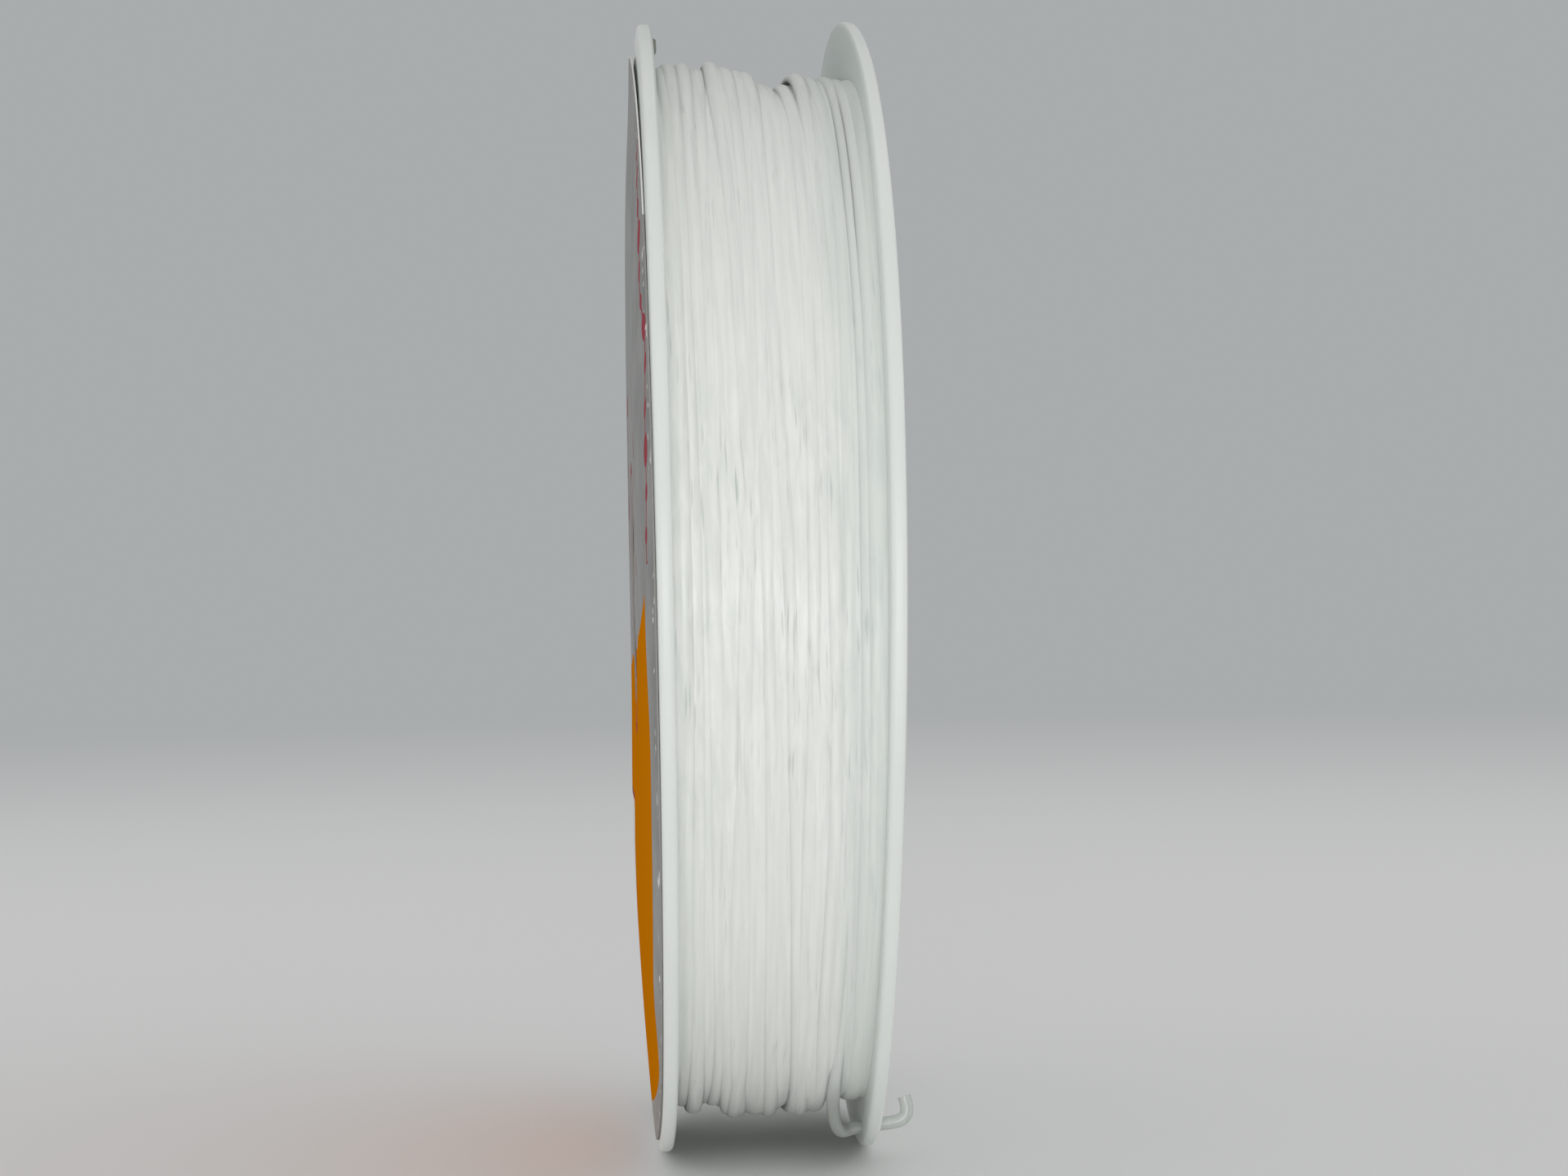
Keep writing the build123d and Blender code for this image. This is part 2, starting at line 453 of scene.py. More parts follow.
def crestAt(x, angle):
    # radius of the outermost turns: a groove at the top, a swell that sags at the bottom
    spec = windingSpec
    radius = spec["crest"]
    for share, crests in (
        (bump(angle, *spec["topPlace"]), spec["topCrests"]),
        (bump(angle, *spec["bottomPlace"]), spec["bottomCrests"]),
    ):
        radius = radius + share * (np.interp(x, *zip(*crests)) - spec["crest"])
    # at the front the end turns ride up the flanges, and lower down the free end lies level between
    # the turns beside it
    plainRide, *plainPlace = spec["plainSideRide"]
    bothRide, *bothPlace = spec["bothSidesRide"]
    ridden = plainRide * bump(x, *spec["endTurns"]) * bump(angle, *plainPlace)
    ridden += bothRide * bump(abs(x), *spec["endTurns"]) * plateau(angle, *bothPlace)
    low = plateau(angle, *spec["freeEndPlace"])
    rise, riseFrom, softness = spec["besideFreeEnd"]
    beside = rise * low / (1 + np.exp(-(x - riseFrom) / softness))
    bentX = x + spoolShift(x, radius * np.cos(angle), radius * np.sin(angle))
    depth, *channelPlace = spec["channel"]
    return radius + ridden + beside - depth * low * bump(bentX, *channelPlace)


def windTurns(spec):
    # the cord is laid turn by turn: each rests on what lies under it and slips towards a gap, and at
    # the top and the bottom the turns bunch up into the crests
    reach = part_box("cord_winding")[1][0] / mm - spec["halfWidth"]
    steps = spec["steps"]
    contactWidth = 2 * spec["halfWidth"] * spec["contact"]
    contactHeight = 2 * spec["halfHeight"] * 0.95
    angle = np.arange(steps) * 2 * math.pi / steps
    laid = []

    def restHeight(x, layer):
        below = (spec["layers"] - 1 - layer) * (spec["layerStep"] + 0.6 * slackAt(angle))
        nominal = crestAt(x, angle) - spec["halfHeight"] - below
        height = nominal - 1
        for otherX, otherHeight in laid[-30:]:  # two layers back and a little more
            gap = np.abs(x - otherX) / contactWidth
            over = otherHeight + contactHeight * np.sqrt(np.clip(1 - gap**2, 0, None))
            height = np.where(gap < 1, np.maximum(height, over), height)
        most = spec["unevenness"] + 0.5 * slackAt(angle)
        return nominal + most * np.tanh((height - nominal) / most)

    def slipHeight(x, layer):
        bunched = 1 + 0.1 * (bump(angle, 0.5 * math.pi, 0.5) + bump(angle, 1.5 * math.pi, 0.5))
        return restHeight(x, layer) - bunched * crestAt(x, angle)

    def smooth(values, width):
        kernel = np.exp(-0.5 * (np.arange(-12, 13) / width) ** 2)
        padded = np.concatenate([[values[0]] * 12, values, [values[-1]] * 12])
        return np.convolve(padded, kernel / kernel.sum(), "valid")

    for turn in range(spec["layers"] * spec["turnsPerLayer"]):
        layer, place = divmod(turn, spec["turnsPerLayer"])
        # a whole turn runs along each flange, before and after the cord crosses over
        share = np.clip((place - 1 + angle / (2 * math.pi)) / (spec["turnsPerLayer"] - 2), 0, 1)
        x = reach * (2 * share - 1) * (1 if layer % 2 == 0 else -1)
        length = turn * 2 * math.pi + angle
        drift = np.array([
            noise.noise(Vector((a * 0.37, 5.1, 0))) + 0.5 * noise.noise(Vector((a * 0.9, 1.7, 3)))
            + 0.2 * noise.noise(Vector((a * 2.3, 8.3, 1))) for a in length
        ])
        x = x + drift * 2 * spec["wander"][layer] * (1 - (x / reach) ** 4)
        x = np.clip(x, -reach, reach)
        for _ in range(4):
            slope = (slipHeight(x + 0.12, layer) - slipHeight(x - 0.12, layer)) / 0.24
            x = np.clip(x - np.clip(0.12 * slope, -0.1, 0.1), -reach, reach)
        laid.append((x, restHeight(x, layer)))
    xs = smooth(np.concatenate([x for x, height in laid]), 3)
    heights = smooth(np.concatenate([height for x, height in laid]), 2)
    angles = np.arange(len(xs)) * 2 * math.pi / steps
    return xs, heights, angles


def makeOvalProfile():
    bpy.ops.curve.primitive_bezier_circle_add(radius=1)
    profile = bpy.context.object
    profile.data.resolution_u = 3
    profile.scale = (windingSpec["halfHeight"] * mm, windingSpec["halfWidth"] * mm, 1)
    bpy.ops.object.transform_apply(scale=True)
    bpy.ops.object.select_all(action="DESELECT")
    return profile


def tubeFromTurns(name, xs, heights, angles, profile):
    # laid round Z, so that the oval keeps its flat side down, and then turned onto the spool's axis
    curve = bpy.data.curves.new(name, "CURVE")
    curve.dimensions = "3D"
    curve.twist_mode = "Z_UP"
    curve.bevel_mode = "OBJECT"
    curve.bevel_object = profile
    curve.use_fill_caps = True
    spline = curve.splines.new("POLY")
    spline.points.add(len(xs) - 1)
    y, z = heights * np.cos(angles), heights * np.sin(angles)
    for point, along, across, up in zip(spline.points, xs + spoolShift(xs, y, z), y, z):
        point.co = (-up * mm, across * mm, along * mm, 1)
    tube = bpy.data.objects.new(name, curve)
    bpy.context.scene.collection.objects.link(tube)
    tube.rotation_euler = (0, math.radians(90), 0)
    bpy.context.view_layer.objects.active = tube
    tube.select_set(True)
    bpy.ops.object.convert(target="MESH")
    bpy.ops.object.transform_apply(rotation=True)
    bpy.ops.object.shade_smooth()
    bpy.ops.object.select_all(action="DESELECT")
    return tube


def makeWoundCore(name="woundCore", across=64, steps=150):
    # a line laid along the winding, spun round the axis and then drawn in to the turns
    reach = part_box("cord_winding")[1][0] + 0.06 * mm  # up to the flanges
    bpy.ops.mesh.primitive_plane_add(size=2 * reach, location=(0, 0, 0))
    core = bpy.context.object
    core.name = name
    bpy.ops.object.mode_set(mode="EDIT")
    bpy.ops.mesh.select_mode(type="VERT")
    bpy.ops.mesh.delete(type="ONLY_FACE")
    bpy.ops.object.mode_set(mode="OBJECT")
    for vertex in core.data.vertices:
        vertex.select = vertex.co.y < 0
    bpy.ops.object.mode_set(mode="EDIT")
    bpy.ops.mesh.delete(type="VERT")
    bpy.ops.mesh.select_all(action="SELECT")
    bpy.ops.mesh.subdivide(number_cuts=across - 1)
    bpy.ops.mesh.spin(
        steps=steps, angle=math.radians(360), center=(0, 0, 0), axis=(1, 0, 0), use_auto_merge=True,
    )
    bpy.ops.mesh.select_all(action="SELECT")
    bpy.ops.mesh.remove_doubles(threshold=0.001 * mm)
    bpy.ops.object.mode_set(mode="OBJECT")
    for vertex in core.data.vertices:
        angle = math.atan2(vertex.co.z, vertex.co.y) % (2 * math.pi)
        beside = (abs(vertex.co.x) / reach) ** 12  # filled up to the crests beside the flanges
        depth = (windingSpec["coreDepth"] + 0.4 * slackAt(angle)) * (1 - beside) - 0.05 * beside
        radius = crestAt(vertex.co.x / mm, angle) - depth
        y, z = radius * math.cos(angle), radius * math.sin(angle)
        vertex.co = (vertex.co.x + spoolShift(vertex.co.x / mm, y, z) * mm, y * mm, z * mm)
    # closed along both flanges and the barrel
    bpy.ops.object.mode_set(mode="EDIT")
    bpy.ops.mesh.select_mode(type="EDGE")
    bpy.ops.mesh.select_all(action="DESELECT")
    bpy.ops.mesh.select_non_manifold(extend=False)
    bpy.ops.mesh.extrude_edges_move()
    bpy.ops.object.mode_set(mode="OBJECT")
    for vertex in core.data.vertices:
        if vertex.select:
            drawIn = windingSpec["innerRadius"] * mm / math.hypot(vertex.co.y, vertex.co.z)
            vertex.co = (math.copysign(reach, vertex.co.x), vertex.co.y * drawIn, vertex.co.z * drawIn)
    bpy.ops.object.mode_set(mode="EDIT")
    bpy.ops.mesh.bridge_edge_loops()
    bpy.ops.mesh.select_all(action="SELECT")
    bpy.ops.mesh.normals_make_consistent(inside=False)
    bpy.ops.object.mode_set(mode="OBJECT")
    bpy.ops.object.shade_smooth_by_angle(angle=math.radians(40))
    bpy.ops.object.select_all(action="DESELECT")
    return finishPiece(core, cordMaterial)


lastTurnSpec = {
    "steps": 60,
    "sweep": math.radians(48),  # how far round it is drawn before the free end begins
    "depth": 1.3,  # mm that it starts under the free end
    "drift": 0.25,  # mm sideways
}


def makeLastTurn():
    # the cord rises out of the winding and runs on into the free end
    spec = lastTurnSpec
    startX, startY, startZ = freeEndSpec["route"][0]
    endAngle = math.atan2(startZ, startY) % (2 * math.pi)
    endRadius = math.hypot(startY, startZ)
    share = np.linspace(0, 1, spec["steps"])
    rise = share**2 * (3 - 2 * share)
    turnToGo = spec["sweep"] * (1 - share)
    angle = endAngle - turnToGo
    toGo = endRadius * turnToGo
    inLine = 0.1 * toGo * np.exp(-toGo / 1.5)  # at its end it runs in line with the free end
    radius = endRadius - spec["depth"] * (1 - rise) + inLine
    across = startX - spec["drift"] * (1 - share) ** 2
    places = np.column_stack((across, radius * np.cos(angle), radius * np.sin(angle)))
    turn = newRoundCord("lastTurn", "POLY", places.tolist())
    bpy.context.view_layer.objects.active = turn
    turn.select_set(True)
    bpy.ops.object.convert(target="MESH")
    bpy.ops.object.shade_smooth()
    bpy.ops.object.select_all(action="DESELECT")
    return finishPiece(turn, freeCordMaterial)


def makeWinding():
    makeWoundCore()
    makeLastTurn()
    xs, heights, angles = windTurns(windingSpec)
    profile = makeOvalProfile()
    perLayer = windingSpec["turnsPerLayer"] * windingSpec["steps"]
    for layer in range(windingSpec["layers"]):
        run = slice(max(0, layer * perLayer - 1), (layer + 1) * perLayer)
        tube = tubeFromTurns(f"cordLayer{layer + 1}", xs[run], heights[run], angles[run], profile)
        finishPiece(tube, cordMaterial)
        print("cord layer", layer + 1, "made")
    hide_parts("cord_winding")
    bpy.data.objects.remove(profile)


makeWinding()
print("winding made")


# moulded plastic halves

plasticLook = {
    "tones": ("#DCE2DE", "#E8ECE8"),
    "innerShade": "#C3CAC6",
    "clouds": 140.0,  # about 7 mm across
    "rings": 4.0,  # about 0.25 mm apart
    "ringDepth": 0.02 * mm,
}


def makePlasticMaterial():
    # satin from the mould, with faint clouds in the white and fine rings that the mould's turning left
    material, tree = newMaterial("moulded white polystyrene")
    place = addNode(tree, "ShaderNodeTexCoord").outputs["Object"]
    clouds = addNode(tree, "ShaderNodeTexNoise", {
        "Vector": place, "Scale": plasticLook["clouds"], "Detail": 3.0,
    })
    dark, pale = plasticLook["tones"]
    tone = addNode(tree, "ShaderNodeMix", {
        "data_type": "RGBA", "Factor_Float": clouds, "A_Color": toLinear(dark), "B_Color": toLinear(pale),
    })
    flat = addNode(tree, "ShaderNodeVectorMath", {
        "operation": "MULTIPLY", 0: place, 1: (0, 1 / mm, 1 / mm),
    })
    radius = addNode(tree, "ShaderNodeVectorMath", {"operation": "LENGTH", 0: flat})
    split = addNode(tree, "ShaderNodeSeparateXYZ", {"Vector": place})
    ringPlace = addNode(tree, "ShaderNodeCombineXYZ", {
        "X": radius.outputs["Value"], "Y": split.outputs["X"],
    })
    rings = addNode(tree, "ShaderNodeTexNoise", {
        "Vector": ringPlace, "Scale": plasticLook["rings"], "Detail": 3.0,
    })
    relief = addNode(tree, "ShaderNodeBump", {
        "Strength": 0.5, "Distance": plasticLook["ringDepth"], "Height": rings,
    })
    # painted shade: the inside faces are painted a darker grey, most of all towards the top
    normal = addNode(tree, "ShaderNodeSeparateXYZ", {
        "Vector": addNode(tree, "ShaderNodeNewGeometry").outputs["Normal"],
    })
    facing = addNode(tree, "ShaderNodeMath", {
        "operation": "MULTIPLY", 0: normal.outputs["X"], 1: split.outputs["X"],
    })
    inside = addNode(tree, "ShaderNodeMapRange", {
        "interpolation_type": "SMOOTHSTEP", "Value": facing,
        "From Min": -2 * mm, "From Max": -5 * mm, "To Max": 1.0,
    })
    towardsTop = addNode(tree, "ShaderNodeMapRange", {
        "Value": split.outputs["Z"], "From Min": 20 * mm, "From Max": 32 * mm,
    })
    paintedInnerShade = addNode(tree, "ShaderNodeMath", {"operation": "MULTIPLY", 0: inside, 1: towardsTop})
    tone = addNode(tree, "ShaderNodeMix", {
        "data_type": "RGBA", "Factor_Float": paintedInnerShade,
        "A_Color": tone.outputs[2], "B_Color": toLinear(plasticLook["innerShade"]),
    })
    shader = addNode(tree, "ShaderNodeBsdfPrincipled", {
        "Base Color": tone.outputs[2], "Roughness": 0.42, "IOR": 1.59, "Specular IOR Level": 0.35,
        "Subsurface Weight": 0.6, "Subsurface Radius": (1.0, 1.0, 0.95), "Subsurface Scale": 0.9 * mm,
        "Normal": relief,
    })
    addNode(tree, "ShaderNodeOutputMaterial", {"Surface": shader})
    return material


plastic = makePlasticMaterial()

halfSpec = {
    "segments": 180,  # round the axis
    "ribCount": 6,  # between the barrel and the bore tube
    "rib": ((-1.65, 0, 8.5), (8.1, 1, 5.8)),  # middle and size, in mm
    "slit": ((-6.1, 1.4, 35), (2.6, 0.5, 8)),
    "tieHole": (6, -8.009, -32.897),
    "tieHoleRadius": 0.55,
}

nibSpec = {
    "middle": (-5.52, 0.55, 33.85),  # mm
    "size": (0.6, 1.2, 1.7),
    "topShare": (0.7, 0.45),  # how much of its width and its length is left at its top
    "topRise": 0.25,  # how much nearer the rim its top is
    "bevel": 0.08,
}


def smoothOver(piece):
    bpy.context.view_layer.objects.active = piece
    piece.select_set(True)
    bpy.ops.object.shade_smooth_by_angle(angle=math.radians(35))
    bpy.ops.object.select_all(action="DESELECT")


def spinOutline(name, outline, steps):
    # draws the outline point by point from one vertex, and spins it round the spool's axis
    bpy.ops.mesh.primitive_plane_add(size=mm, location=(0, 0, 0))
    piece = bpy.context.object
    piece.name = name
    bpy.ops.object.mode_set(mode="EDIT")
    bpy.ops.mesh.select_mode(type="VERT")
    bpy.ops.mesh.select_all(action="SELECT")
    bpy.ops.mesh.merge(type="CENTER")
    bpy.ops.transform.translate(value=outline[0])
    for start, end in zip(outline, outline[1:]):
        step = [b - a for a, b in zip(start, end)]
        bpy.ops.mesh.extrude_region_move(TRANSFORM_OT_translate={"value": step})
    bpy.ops.mesh.select_all(action="SELECT")
    bpy.ops.mesh.remove_doubles(threshold=0.002 * mm)
    bpy.ops.mesh.select_all(action="SELECT")
    bpy.ops.mesh.spin(
        steps=steps, angle=math.radians(360), center=(0, 0, 0), axis=(1, 0, 0), use_auto_merge=True,
    )
    bpy.ops.mesh.select_all(action="SELECT")
    bpy.ops.mesh.remove_doubles(threshold=0.002 * mm)
    bpy.ops.mesh.normals_make_consistent(inside=False)
    bpy.ops.object.mode_set(mode="OBJECT")
    bpy.ops.object.shade_smooth_by_angle(angle=math.radians(40))
    bpy.ops.object.select_all(action="DESELECT")
    return piece


def halfOutline(side):
    # from the bore out over the crowned face, round the rim and back along the inside
    spec = flangeSpec
    face, inside, rim, edge = spec["rimPlane"], spec["innerFace"], spec["rimRadius"], spec["edgeRadius"]
    bore, flat, foot = spec["boreTube"][1], spec["crownFlat"], spec["crownFoot"]
    top = face + spec["crownHeight"]
    outline = [(top - spec["boreChamfer"], bore), (top, bore + spec["boreChamfer"])]
    outline += [(top, radius) for radius in (7, 10, 12.5, 15, 17.5)]
    for step in range(15):
        radius = flat + (foot - flat) * step / 14
        outline.append((face + crownAt(radius), radius))
    for firstTurn, middle in ((0, face - edge), (90, inside + edge)):
        for step in range(6):
            turn = math.radians(firstTurn + 18 * step)
            outline.append((middle + edge * math.cos(turn), rim - edge + edge * math.sin(turn)))
    outline += [(inside, radius) for radius in (33, 31, 28, 25, 22, 19, 16, 13)]
    if side < 0:
        end = 0.02 - inside
        for outer, inner in (spec["barrel"], spec["boreTube"]):
            outline += [(inside, outer), (end, outer), (end, inner), (inside, inner)]
        outline.pop()
    else:
        outer, inner = spec["spigot"]
        end = inside - spec["spigotDepth"]
        outline += [(inside, outer), (end, outer), (end, inner), (inside, inner), (inside, bore)]
    outline.append(outline[0])
    return [(side * x * mm, 0, radius * mm) for x, radius in outline]


def addBlock(name, place, size):
    bpy.ops.mesh.primitive_cube_add(size=1, location=[value * mm for value in place])
    block = bpy.context.object
    block.name = name
    block.scale = [value * mm for value in size]
    bpy.ops.object.transform_apply(location=True, rotation=True, scale=True)
    bpy.ops.object.select_all(action="DESELECT")
    return block


def combine(piece, tool, operation):
    modifier = piece.modifiers.new("combine", "BOOLEAN")
    modifier.operation = operation
    modifier.object = tool
    bpy.context.view_layer.objects.active = piece
    bpy.ops.object.modifier_apply(modifier=modifier.name)
    bpy.data.objects.remove(tool)


def bendWithFlange(piece, side):
    for vertex in piece.data.vertices:
        x, y, z = vertex.co / mm
        if abs(x) > 5:  # the hub between the flanges stays straight
            vertex.co.x += flangeShift(side, y, z) * mm


def makeHalf(side, name, nodeName):
    half = spinOutline(name, halfOutline(side), halfSpec["segments"])
    if side < 0:
        for index in range(halfSpec["ribCount"]):
            rib = addBlock("rib", *halfSpec["rib"])
            rib.rotation_euler = (math.radians(360 / halfSpec["ribCount"] * index), 0, 0)
            combine(half, rib, "UNION")
        combine(half, addBlock("slit", *halfSpec["slit"]), "DIFFERENCE")
    else:
        bpy.ops.mesh.primitive_cylinder_add(
            vertices=32, radius=halfSpec["tieHoleRadius"] * mm, depth=4 * mm,
            location=[value * mm for value in halfSpec["tieHole"]], rotation=(0, math.radians(90), 0),
        )
        combine(half, bpy.context.object, "DIFFERENCE")
    bendWithFlange(half, side)
    smoothOver(half)
    finishPiece(half, plastic)
    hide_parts(nodeName)
    print(name, len(half.data.polygons), "faces")


def makeNibShadeMaterial():
    # painted shade: the nib is painted a dark, smoky grey for the shade it lies in, and it is a little
    # glossier
    material, tree = newMaterial("nib plastic in painted shade")
    place = addNode(tree, "ShaderNodeTexCoord").outputs["Object"]
    clouds = addNode(tree, "ShaderNodeTexNoise", {  # about 0.6 mm across
        "Vector": place, "Scale": 1600.0, "Detail": 3.0,
    })
    tone = addNode(tree, "ShaderNodeMix", {
        "data_type": "RGBA", "Factor_Float": clouds,
        "A_Color": toLinear("#5E6257"), "B_Color": toLinear("#9FA396"),
    })
    shader = addNode(tree, "ShaderNodeBsdfPrincipled", {
        "Base Color": tone.outputs[2], "Roughness": 0.35, "IOR": 1.59,
    })
    addNode(tree, "ShaderNodeOutputMaterial", {"Surface": shader})
    return material


def makeCatchNib():
    # a wedge just inside the rim, in front of the slit, that a loose cord end is pinched behind
    nib = addBlock("catchNib", nibSpec["middle"], nibSpec["size"])
    x, y, z = [value * mm for value in nibSpec["middle"]]
    width, length = nibSpec["topShare"]
    for vertex in nib.data.vertices:
        if vertex.co.x > x:
            vertex.co.z = z + nibSpec["topRise"] * mm + length * (vertex.co.z - z)
            vertex.co.y = y + width * (vertex.co.y - y)
    bevel = nib.modifiers.new("bevel", "BEVEL")
    bevel.width = nibSpec["bevel"] * mm
    bevel.segments = 3
    bpy.context.view_layer.objects.active = nib
    bpy.ops.object.modifier_apply(modifier=bevel.name)
    bendWithFlange(nib, -1)
    smoothOver(nib)
    # the nib's colour is painted shade
    finishPiece(nib, makeNibShadeMaterial())


makeCatchNib()
makeHalf(-1, "labelSideHalf", "label_side_half")
makeHalf(1, "plainSideHalf", "plain_side_half")
print("both halves made")


# foil label on the crowned side

labelSpec = {
    "radius": 33.6,  # mm
    "shift": (-0.5, -0.6),  # it is stuck on a little low and to the front
    "holeRadius": 6.5,
    "glueGap": 0.03,
    "thickness": 0.09,
    "lift": 0.22,  # how far the edge has come away at the top
    "liftTurn": (8, 28),  # middle and spread, in degrees from the top towards the front
    "liftFrom": 29,  # the foil is stuck down inside this radius
}

printSpec = {
    "orange": "#D07C05",
    "red": "#A14E58",
    "panel": "#E9E7E0",
    "silver": ("#A9A9A8", "#D6D5D2"),
    # painted shade near the edge
    "edgeShade": "#8B8885",
    # painted glints
    "paintedGlint": "#E4E4E1",
    # painted shade on the cut edge below the top
    "shadedEdge": "#9B9996",
    "whiteEdge": "#E9E9E6",
    "footSlope": (0.07, -4.0),  # of its top: rise per mm towards the front, and height at the axis
    "footWave": (0.4, 0.25),  # radians per mm, and height in mm
    "tipFrom": 21,  # mm in front of the axis, where the foot's top starts to turn up into a tip
    "tipLength": 8.5,
    "tipCurve": 1.6,
    "tipHeight": 2.6,
    "footReach": (  # parts of its outer radius: between two depths below the axis, from one to the other
        (1, 9, 28.7, 30.2), (21.5, 27.5, 0, 2.6), (27.5, 31.5, 0, -1.6),
    ),
    "panelMiddle": (-13, -17.6),
    "panelHalfSize": (6.6, 3.6),
    "panelCorner": 1.8,
    "frameWidth": 0.4,
    "collar": (8.2, 0.35),  # radius and half width
    "beadStrings": ((31.7, 2.3, 0.7), (17, 2.6, 0.5)),  # radius, spacing and swing
    "beadHeight": (0.42, 0.36),  # height over radius: the middle of where they run, and half the range
    "edgeWidth": 0.06,
    "whiteFrom": 21,  # above this the cut edge is white
}


def labelPlace(radius, lift):
    return -(flangeSpec["rimPlane"] + crownAt(radius, lift)) * mm, 0, radius * mm


def addLength(tree, across, along):
    # how far a place is from the middle that both are measured from
    squares = addNode(tree, "ShaderNodeMath", {"operation": "MULTIPLY", 0: across, 1: across})
    squares = addNode(tree, "ShaderNodeMath", {
        "operation": "MULTIPLY_ADD", 0: along, 1: along, 2: squares,
    })
    return addNode(tree, "ShaderNodeMath", {"operation": "SQRT", 0: squares})


def addBeadString(tree, turn, radius, ringRadius, spacing, swing):
    # a loosely drawn string of beads on a ring: every third bead is a large one
    for height, waves in ((swing, 12), (0.5 * swing, 25)):
        swung = addNode(tree, "ShaderNodeMath", {"operation": "MULTIPLY", 0: turn, 1: waves})
        swung = addNode(tree, "ShaderNodeMath", {"operation": "SINE", 0: swung})
        radius = addNode(tree, "ShaderNodeMath", {
            "operation": "MULTIPLY_ADD", 0: swung, 1: height, 2: radius,
        })
    away = addNode(tree, "ShaderNodeMath", {"operation": "SUBTRACT", 0: radius, 1: ringRadius})
    along = addNode(tree, "ShaderNodeMath", {"operation": "MULTIPLY", 0: turn, 1: ringRadius})
    count = addNode(tree, "ShaderNodeMath", {"operation": "DIVIDE", 0: along, 1: spacing})
    along = addNode(tree, "ShaderNodeMath", {"operation": "FRACT", 0: count})
    for operation, value in (("SUBTRACT", 0.5), ("MULTIPLY", spacing)):
        along = addNode(tree, "ShaderNodeMath", {"operation": operation, 0: along, 1: value})
    third = addNode(tree, "ShaderNodeMath", {"operation": "FLOOR", 0: count})
    for operation, value in (("DIVIDE", 3), ("FRACT", 0), ("LESS_THAN", 0.2)):
        third = addNode(tree, "ShaderNodeMath", {"operation": operation, 0: third, 1: value})
    size = addNode(tree, "ShaderNodeMath", {
        "operation": "MULTIPLY_ADD", 0: third, 1: 0.16 * spacing, 2: 0.24 * spacing,
    })
    beads = addNode(tree, "ShaderNodeMath", {
        "operation": "LESS_THAN", 0: addLength(tree, along, away), 1: size,
    })
    thread = addNode(tree, "ShaderNodeMath", {"operation": "COMPARE", 0: away, 1: 0.0, 2: 0.18})
    return addNode(tree, "ShaderNodeMath", {"operation": "MAXIMUM", 0: beads, 1: thread})


def addRoundedPanel(tree, front, up, margin):
    # 1 inside the panel, or inside its frame when it is given the frame's width as a margin
    corner = printSpec["panelCorner"] + margin
    past = []
    for value, middle, half in zip((front, up), printSpec["panelMiddle"], printSpec["panelHalfSize"]):
        away = addNode(tree, "ShaderNodeMath", {"operation": "SUBTRACT", 0: value, 1: middle})
        away = addNode(tree, "ShaderNodeMath", {"operation": "ABSOLUTE", 0: away})
        straight = half + margin - corner
        away = addNode(tree, "ShaderNodeMath", {"operation": "SUBTRACT", 0: away, 1: straight})
        past.append(addNode(tree, "ShaderNodeMath", {"operation": "MAXIMUM", 0: away, 1: 0}))
    return addNode(tree, "ShaderNodeMath", {
        "operation": "LESS_THAN", 0: addLength(tree, *past), 1: corner,
    })


def addOrangeFoot(tree, front, up, fromMiddle):
    # the orange foot ends in a low slope with a tip, and leaves a silver margin along the rim
    spec = printSpec
    slope, height = spec["footSlope"]
    down = addNode(tree, "ShaderNodeMath", {"operation": "MULTIPLY", 0: up, 1: -1})
    tip = front
    for operation, value in (
        ("SUBTRACT", spec["tipFrom"]), ("MAXIMUM", 0), ("DIVIDE", spec["tipLength"]),
        ("POWER", spec["tipCurve"]), ("MULTIPLY", spec["tipHeight"]),
    ):
        tip = addNode(tree, "ShaderNodeMath", {"operation": operation, 0: tip, 1: value})
    waves, waveHeight = spec["footWave"]
    wave = front
    for operation, value in (("MULTIPLY", waves), ("SINE", 0), ("MULTIPLY", waveHeight)):
        wave = addNode(tree, "ShaderNodeMath", {"operation": operation, 0: wave, 1: value})
    depth = addNode(tree, "ShaderNodeMath", {"operation": "MULTIPLY_ADD", 0: front, 1: slope, 2: height})
    for part in (tip, wave, down):
        depth = addNode(tree, "ShaderNodeMath", {"operation": "ADD", 0: depth, 1: part})
    reach = 0.0
    for start, end, first, last in spec["footReach"]:
        part = addNode(tree, "ShaderNodeMapRange", {
            "interpolation_type": "SMOOTHSTEP", "Value": down,
            "From Min": start, "From Max": end, "To Min": first, "To Max": last,
        })
        reach = addNode(tree, "ShaderNodeMath", {"operation": "ADD", 0: reach, 1: part})
    below = addNode(tree, "ShaderNodeMath", {"operation": "GREATER_THAN", 0: depth, 1: 0.0})
    inside = addNode(tree, "ShaderNodeMath", {"operation": "GREATER_THAN", 0: reach, 1: fromMiddle})
    return addNode(tree, "ShaderNodeMath", {"operation": "MULTIPLY", 0: below, 1: inside})


def addBeads(tree, turn, radius):
    # both strings run over the upper part only
    outer, inner = [addBeadString(tree, turn, radius, *string) for string in printSpec["beadStrings"]]
    beads = addNode(tree, "ShaderNodeMath", {"operation": "MAXIMUM", 0: outer, 1: inner})
    middle, halfRange = printSpec["beadHeight"]
    upper = addNode(tree, "ShaderNodeMath", {"operation": "SINE", 0: turn})
    upper = addNode(tree, "ShaderNodeMath", {"operation": "COMPARE", 0: upper, 1: middle, 2: halfRange})
    return addNode(tree, "ShaderNodeMath", {"operation": "MULTIPLY", 0: beads, 1: upper})


